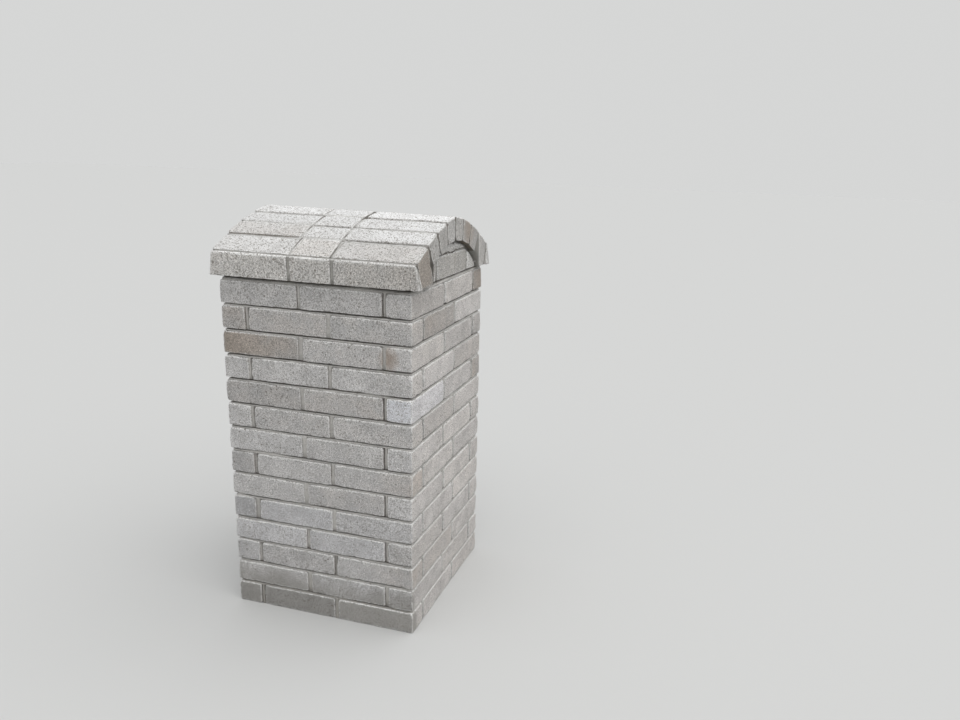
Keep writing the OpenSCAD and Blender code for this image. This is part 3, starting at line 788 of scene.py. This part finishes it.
def outside_line(struck):
    """Points of the mortar's outside from the crown to the foot of the edge row: distance, height, depth, row, seam.

    Between the bricks of one row it is almost flush, and elsewhere struck back to be covered. A point at the seam
    between two rows holds the place of a row in ROW_NAMES, whose lap covers it, and any other point None.
    """
    line = [(0.0, CROWN - CROWN_DEPTH, CROWN_DEPTH, 0, None)]
    # Share of the way down the row, depth where struck, depth where flush
    profile = ((0.0, 0.0060, 0.0060), (0.05, 0.0062, 0.0034), (0.12, 0.0068, 0.0026), (0.3, 0.0072, 0.0022),
               (0.5, 0.0072, 0.0020), (0.7, 0.0072, 0.0018), (0.92, 0.0068, 0.0020), (1.0, 0.0062, 0.0060))
    seams = {0.0: -1, 0.05: 0, 1.0: 0} if struck else {0.0: -1, 1.0: -1}
    for row in range(1, ROWS + 2):
        upper = joint_top(row - 1, ARCH_JOINT / 2, corner(row - 1), corner(row))
        lower = (joint_top(row, -reach_under, corner(row - 1), corner(row)) if row <= ROWS
                 else corner(4) + slope * (EDGE_TOP + ARCH_JOINT))
        for share, back, shallow in profile:
            depth = back if struck else shallow
            point = sunk(upper + (lower - upper) * share, corner(row - 1 if share else row), depth)
            line.append((*point, depth, row, row + seams[share] if share in seams else None))
    # Over the joint behind the edge bricks and over their tops: way back, depth, and painted shade added to the depth
    for back, depth, dirt_and_shade in ((EDGE_TOP + ARCH_JOINT * 0.9, 0.0030, 0.0042),
                              (EDGE_TOP + ARCH_JOINT * 0.4, 0.0034, 0.0036),
                              (EDGE_TOP, 0.0020, 0.0010), (EDGE_TOP * 0.4, 0.0016, 0.0)):
        line.append((*sunk(corner(4) + slope * back, corner(3), depth), depth + dirt_and_shade, EDGE_ROW, None))
    set_in = 0.0085 if struck else 0.0042
    return line + [(EDGE_Y - set_in, EDGE_Z - drop, set_in, EDGE_ROW, None)
                   for drop in (0.005, 0.02, 0.035, 0.05, 0.0655)]


def both_halves(half):
    """The line from the front edge over the crown to the rear edge."""
    return [(-y, *others) for y, *others in reversed(half[1:])] + half


def end_depth(y):
    """How dark the mortar is at the ends of the rows, as a depth: less so at the rear."""
    return 0.0060 if y > 0.15 else 0.009


under = [(-FRONT_FOOT, CAP_BASE + 0.0005), (-FRONT_FOOT, CAP_BASE + 0.03)]
under += [(SOFFIT_RADIUS * math.sin(angle), soffit_centre[1] + SOFFIT_RADIUS * math.cos(angle) + 0.0006)
          for angle in np.linspace(-math.asin((FRONT_FOOT - 0.001) / SOFFIT_RADIUS),
                                   math.asin(REAR_FOOT / SOFFIT_RADIUS), 40)]
under += [(REAR_FOOT, CAP_BASE + 0.0005)]
struck_line, flush_line = both_halves(outside_line(True)), both_halves(outside_line(False))
row_strays = [(0.0, 0.0)] + [strays[name] for name in ROW_NAMES]
# How much dirt lies in the left and in the right upright joint, from the crown down, and how much painted shade lies
# under each lap
dirt_share = ((1.0, 2.4), (1.0, 2.4), (1.5, 1.3), (1.2, 1.1), (1.1, 1.2), (0.0, 0.0))
lap_shade = (0.0, 0.0050, 0.0022, 0.0, 0.0)
# Stations along the cap, closer together round the two upright joints
uprights = set(np.round(np.linspace(-CAP_HALF + END_DEPTH, CAP_HALF - END_DEPTH, 71), 4))
for low, high in ((-0.0900, -0.0580), (0.0440, 0.0760)):
    uprights |= set(np.round(np.arange(low, high, 0.0020), 4))
rings, depths = [], []
for x in sorted(uprights):
    at_end = abs(x) > CAP_HALF - 0.008
    on_right = int(x > 0)
    ring, depth = [], []
    for struck, flush in zip(struck_line, flush_line):
        row = struck[3]
        middle = math.copysign(CUT_BRICK / 2 + CAP_JOINT / 2, x)
        aside = abs(x - middle - row_strays[row][on_right])
        y, z, deep, row, seam = flush if aside < CAP_JOINT * 0.5 and not at_end else struck
        dirt_and_shade = 0.0
        grit = abs(rough(x, y, z, 55, 0.0014) + rough(x, y, z, 200, 0.0008))
        if seam is not None:
            # The smaller the lap, the nearer the mortar comes to the outside. Wide laps get painted shade under them
            laps = front_laps[ROW_NAMES[seam]] if y < 0 else (REAR_LAP,) * 3
            lap = laps[int(x > row_strays[row][0] - CUT_BRICK / 2) + int(x > row_strays[row][1] + CUT_BRICK / 2)]
            share = 1.3 - lap / 0.0030 + rough(x, row + math.copysign(9, y), 4.0, 7, 0.8)
            raised = SEAM_RISE * min(1.0, max(0.0, share))
            z, deep = z + raised, deep - raised
            dirt_and_shade = lap_shade[seam] * min(1.0, lap / 0.0025 + 0.2)
        crown_share = max(0.0, 1.0 - abs(y) / corner(1)[0])
        ring.append(Vector((x, y, z - grit - sag(x) * crown_share)))
        spread = max(0.0, 1.0 - aside / (0.0065 if on_right else 0.0045)) * max(0.2, 1.0 + rough(x, y, 7.0, 45, 1.1))
        dirt_and_shade = max(dirt_and_shade, JOINT_DIRT * dirt_share[row][on_right] * spread)
        depth.append(end_depth(y) if at_end else deep + grit + dirt_and_shade)
    ring += [Vector((x, y, z)) for y, z in reversed(under)]
    depth += [end_depth(y) for y, z in reversed(under)]
    rings.append(ring)
    depths.append(depth)
arch_joints = closed_tube("arch_joints", rings, depths, cap_mortar)
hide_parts("arch_mortar")

# ---- Infill of both ends ----
# One whole brick, two pieces cut to the curve beside it and a thin one over it
# close each end under the arch, in line with the faces of the shaft.
FACE_DEPTH, FILL_DEPTH = 0.0006, 0.0045
infill_clay = brick_material("infill_clay", (0.61, 0.590, 0.563), coarseness=1.0, pits=0.15, contrast=2.9,
                             streaking=0.60, bleach_and_top_light=0.5)


def arch_height(y, gap=SOFFIT_JOINT):
    """Height of the soffit over that place, less a joint."""
    return soffit_centre[1] + math.sqrt((SOFFIT_RADIUS - gap) ** 2 - y * y)


def infill_block(outward, low_y, high_y, bottom, low_top, high_top):
    """Corners of an infill piece, with its length along the face of the shaft."""
    ends = ((low_y, low_top), (high_y, high_top))[::outward]
    sides = (HALF_SIDE - FACE_DEPTH, HALF_SIDE - BRICK_DEPTH)
    return np.array([[[(outward * x, y, z) for z in (bottom, top)] for x in sides] for y, top in ends])


for end, outward in (("right", 1), ("left", -1)):
    bed = EDGE_Z + BED_JOINT
    pieces = {
        "brick": [(infill_block(outward, -0.109, 0.135, CAP_BASE, EDGE_Z, EDGE_Z - 0.001), -0.2, 0.05, 0.0, 0.0)],
        "cuts": [(infill_block(outward, -0.170, -0.122, CAP_BASE, arch_height(0.170), EDGE_Z), 0.0, 0.0, 0.0, 0.0),
                 (infill_block(outward, 0.148, 0.217, CAP_BASE, arch_height(0.148), arch_height(0.217)),
                  1.2, -0.3, 0.0, 0.0)],
        "sliver": [(infill_block(outward, -0.119, 0.119, bed, bed + 0.003, bed + 0.003), -0.5, 0.3, 0.0, 0.0205)],
    }
    for name, bricks in pieces.items():
        piece = lay("%s_infill_%s_clay" % (end, name), bricks, infill_clay, cells=(24, 8, 10), arris=0.0024,
                    corner=0.0020, chips=0.0030, unevenness=0.0012)
        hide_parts("%s_infill_%s" % (end, name))

fill_line = np.linspace(0.0002 - FRONT_FOOT, REAR_FOOT - 0.0002, 60)
rings, depths = [], []
for x in (FILL_DEPTH - HALF_SIDE, HALF_SIDE - FILL_DEPTH):
    rings.append([Vector((x, y, CAP_BASE - 0.0002)) for y in fill_line]
                 + [Vector((x, y, arch_height(y, 0.0))) for y in reversed(fill_line)])
    depths.append([0.006] * len(rings[-1]))
fill = closed_tube("end_wall_mortar", rings, depths, cap_mortar)
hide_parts("arch_fill")
